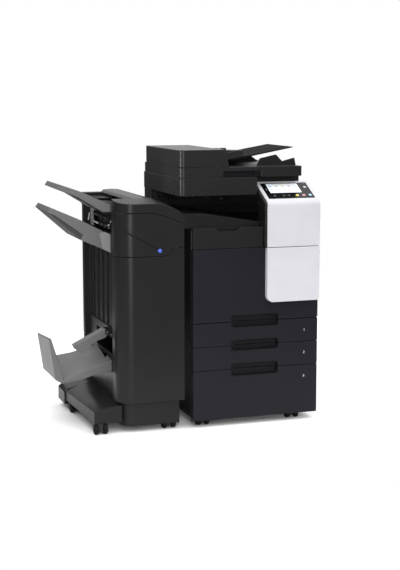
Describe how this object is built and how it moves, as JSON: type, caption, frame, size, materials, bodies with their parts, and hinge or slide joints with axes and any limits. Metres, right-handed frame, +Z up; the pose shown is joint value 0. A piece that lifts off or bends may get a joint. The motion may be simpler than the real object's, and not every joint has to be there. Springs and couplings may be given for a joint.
{
  "type": "photocopier",
  "caption": "Floor-standing office photocopier with document feeder, tilted touch panel, pull-out paper drawers, and a docked finisher with exit, stacking and booklet trays.",
  "frame": {"origin": "on the floor, under the middle of the whole machine with its finisher", "axes": "+X to the machine's right seen from its front, +Y to its back, +Z up"},
  "size_m": [1.15, 0.669, 1.168],
  "materials": {
    "black": "fine-grained matte",
    "caster_tyre": "matte",
    "charcoal": "fine-grained satin",
    "clear_glass": "clear, smooth",
    "key_blue": "satin",
    "key_grey": "satin",
    "key_pink": "satin",
    "key_yellow": "satin",
    "lamp_blue": "gloss",
    "panel_glass": "clear, smooth",
    "rubber": "matte",
    "screen": "gloss",
    "steel": "zinc-plated satin",
    "toner": "satin",
    "tray_dark": "fine-grained matte",
    "tray_grey": "fine-grained matte",
    "unit_black": "satin",
    "white": "fine-grained matte"
  },
  "bodies": {
    "machine": {"cabinet_frame": "steel", "cabinet_covers": "charcoal", "upper_housing": "charcoal", "inner_tray_front_cover": "charcoal", "inner_output_tray": "tray_dark", "upper_white_cover": "white", "control_pod": "black", "panel_glass": "panel_glass", "touch_display": "screen", "scanner_housing": "charcoal", "platen_glass": "clear_glass", "toner_cartridges": "toner", "drum_units": "unit_black", "transfer_belt_unit": "unit_black", "laser_unit": "unit_black", "fuser_unit": "steel", "power_supply": "steel", "caster_forks_and_feet": "black", "finisher_frame": "steel", "finisher_top_cover": "charcoal", "finisher_mid_panel": "charcoal", "finisher_top_lid": "charcoal", "finisher_rear_cover": "charcoal", "finisher_base": "charcoal", "stapling_and_folding_units": "unit_black", "upper_exit_tray": "tray_grey", "booklet_tray": "tray_grey", "indicator_lamp": "lamp_blue"},
    "front_door": {"front_door": "charcoal", "white_door_trim": "white"},
    "drawer_1": {"drawer_1_front": "charcoal", "drawer_1_tray": "tray_dark"},
    "drawer_2": {"drawer_2_front": "charcoal", "drawer_2_tray": "tray_dark"},
    "drawer_3": {"drawer_3_front": "charcoal", "drawer_3_tray": "tray_dark"},
    "right_door": {"right_door": "charcoal"},
    "hand_feed_tray": {"hand_feed_tray": "charcoal"},
    "scan_carriage": {"scan_carriage": "unit_black"},
    "feeder_lid": {"feeder_lid": "charcoal"},
    "feeder_head_cover": {"feeder_head_cover": "charcoal"},
    "document_tray": {"document_tray": "tray_dark"},
    "front_paper_guide": {"front_paper_guide": "tray_dark"},
    "back_paper_guide": {"back_paper_guide": "tray_dark"},
    "reset_key": {"reset_key": "key_yellow"},
    "stop_key": {"stop_key": "key_pink"},
    "start_key": {"start_key": "key_blue"},
    "power_key": {"power_key": "key_grey"},
    "copier_front_left_wheel": {"copier_front_left_wheel": "caster_tyre"},
    "copier_front_right_wheel": {"copier_front_right_wheel": "caster_tyre"},
    "copier_rear_left_wheel": {"copier_rear_left_wheel": "caster_tyre"},
    "copier_rear_right_wheel": {"copier_rear_right_wheel": "caster_tyre"},
    "finisher_front_left_wheel": {"finisher_front_left_wheel": "caster_tyre"},
    "finisher_front_right_wheel": {"finisher_front_right_wheel": "caster_tyre"},
    "finisher_rear_left_wheel": {"finisher_rear_left_wheel": "caster_tyre"},
    "finisher_rear_right_wheel": {"finisher_rear_right_wheel": "caster_tyre"},
    "finisher_front_door": {"finisher_front_door": "charcoal"},
    "stacking_tray": {"stacking_tray": "tray_grey"},
    "booklet_flap": {"booklet_flap": "tray_grey"},
    "exit_rollers": {"exit_rollers": "rubber"}
  },
  "joints": [
    {"name": "front_door_hinge", "type": "hinge", "parent": "machine", "child": "front_door", "pos_m": [0.277, -0.3005, 0.452], "axis": [1, 0, 0], "range_deg": [0, 62]},
    {"name": "drawer_1_slide", "type": "slide", "parent": "machine", "child": "drawer_1", "axis": [0, -1, 0], "range_m": [0, 0.45]},
    {"name": "drawer_2_slide", "type": "slide", "parent": "machine", "child": "drawer_2", "axis": [0, -1, 0], "range_m": [0, 0.45]},
    {"name": "drawer_3_slide", "type": "slide", "parent": "machine", "child": "drawer_3", "axis": [0, -1, 0], "range_m": [0, 0.45]},
    {"name": "right_door_hinge", "type": "hinge", "parent": "machine", "child": "right_door", "pos_m": [0.567, 0.2535, 0.53], "axis": [0, 0, 1], "range_deg": [0, 80]},
    {"name": "hand_feed_tray_hinge", "type": "hinge", "parent": "right_door", "child": "hand_feed_tray", "pos_m": [0.571, -0.0215, 0.486], "axis": [0, 1, 0], "range_deg": [0, 75]},
    {"name": "scan_carriage_slide", "type": "slide", "parent": "machine", "child": "scan_carriage", "axis": [1, 0, 0], "range_m": [0, 0.38]},
    {"name": "feeder_lid_hinge", "type": "hinge", "parent": "machine", "child": "feeder_lid", "pos_m": [0.237, 0.2805, 1.0475], "axis": [-1, 0, 0], "range_deg": [0, 60]},
    {"name": "feeder_head_hinge", "type": "hinge", "parent": "feeder_lid", "child": "feeder_head_cover", "pos_m": [-0.04, 0.0095, 1.0905], "axis": [0, -1, 0], "range_deg": [0, 55]},
    {"name": "document_tray_hinge", "type": "hinge", "parent": "feeder_lid", "child": "document_tray", "pos_m": [0.191, -0.0065, 1.1135], "axis": [0, -1, 0], "range_deg": [0, 20]},
    {"name": "front_guide_slide", "type": "slide", "parent": "document_tray", "child": "front_paper_guide", "axis": [0, 1, 0], "range_m": [0, 0.07]},
    {"name": "back_guide_slide", "type": "slide", "parent": "document_tray", "child": "back_paper_guide", "axis": [0, 1, 0], "range_m": [-0.07, 0]},
    {"name": "reset_key_press", "type": "slide", "parent": "machine", "child": "reset_key", "axis": [0, 0.4496, -0.8932], "range_m": [0, 0.0007], "stiffness_N_per_m": 400, "springref_m": -0.0008},
    {"name": "stop_key_press", "type": "slide", "parent": "machine", "child": "stop_key", "axis": [0, 0.4496, -0.8932], "range_m": [0, 0.0007], "stiffness_N_per_m": 400, "springref_m": -0.0008},
    {"name": "start_key_press", "type": "slide", "parent": "machine", "child": "start_key", "axis": [0, 0.4496, -0.8932], "range_m": [0, 0.0007], "stiffness_N_per_m": 400, "springref_m": -0.0008},
    {"name": "power_key_press", "type": "slide", "parent": "machine", "child": "power_key", "axis": [0, 0.4496, -0.8932], "range_m": [0, 0.0007], "stiffness_N_per_m": 400, "springref_m": -0.0008},
    {"name": "copier_front_left_spin", "type": "hinge", "parent": "machine", "child": "copier_front_left_wheel", "pos_m": [0.053, -0.2535, 0.022], "axis": [1, 0, 0], "continuous": true},
    {"name": "copier_front_right_spin", "type": "hinge", "parent": "machine", "child": "copier_front_right_wheel", "pos_m": [0.461, -0.2535, 0.022], "axis": [1, 0, 0], "continuous": true},
    {"name": "copier_rear_left_spin", "type": "hinge", "parent": "machine", "child": "copier_rear_left_wheel", "pos_m": [0.053, 0.2385, 0.022], "axis": [1, 0, 0], "continuous": true},
    {"name": "copier_rear_right_spin", "type": "hinge", "parent": "machine", "child": "copier_rear_right_wheel", "pos_m": [0.497, 0.2385, 0.022], "axis": [1, 0, 0], "continuous": true},
    {"name": "finisher_front_left_spin", "type": "hinge", "parent": "machine", "child": "finisher_front_left_wheel", "pos_m": [-0.393, -0.2665, 0.022], "axis": [1, 0, 0], "continuous": true},
    {"name": "finisher_front_right_spin", "type": "hinge", "parent": "machine", "child": "finisher_front_right_wheel", "pos_m": [-0.097, -0.2545, 0.022], "axis": [1, 0, 0], "continuous": true},
    {"name": "finisher_rear_left_spin", "type": "hinge", "parent": "machine", "child": "finisher_rear_left_wheel", "pos_m": [-0.407, 0.1185, 0.022], "axis": [1, 0, 0], "continuous": true},
    {"name": "finisher_rear_right_spin", "type": "hinge", "parent": "machine", "child": "finisher_rear_right_wheel", "pos_m": [-0.097, 0.2785, 0.022], "axis": [1, 0, 0], "continuous": true},
    {"name": "finisher_door_hinge", "type": "hinge", "parent": "machine", "child": "finisher_front_door", "pos_m": [-0.047, -0.3005, 0.43], "axis": [0, 0, 1], "range_deg": [0, 100]},
    {"name": "stacking_tray_lift", "type": "slide", "parent": "machine", "child": "stacking_tray", "axis": [0, 0, -1], "range_m": [0, 0.29]},
    {"name": "booklet_flap_hinge", "type": "hinge", "parent": "machine", "child": "booklet_flap", "pos_m": [-0.319, -0.0675, 0.394], "axis": [0, 1, 0], "range_deg": [0, 30]},
    {"name": "exit_roller_spin", "type": "hinge", "parent": "machine", "child": "exit_rollers", "pos_m": [-0.288, 0.0485, 0.832], "axis": [0, 1, 0], "continuous": true}
  ],
  "couplings": [
    {"joint": "back_guide_slide", "follows": "front_guide_slide", "ratio": -1}
  ]
}
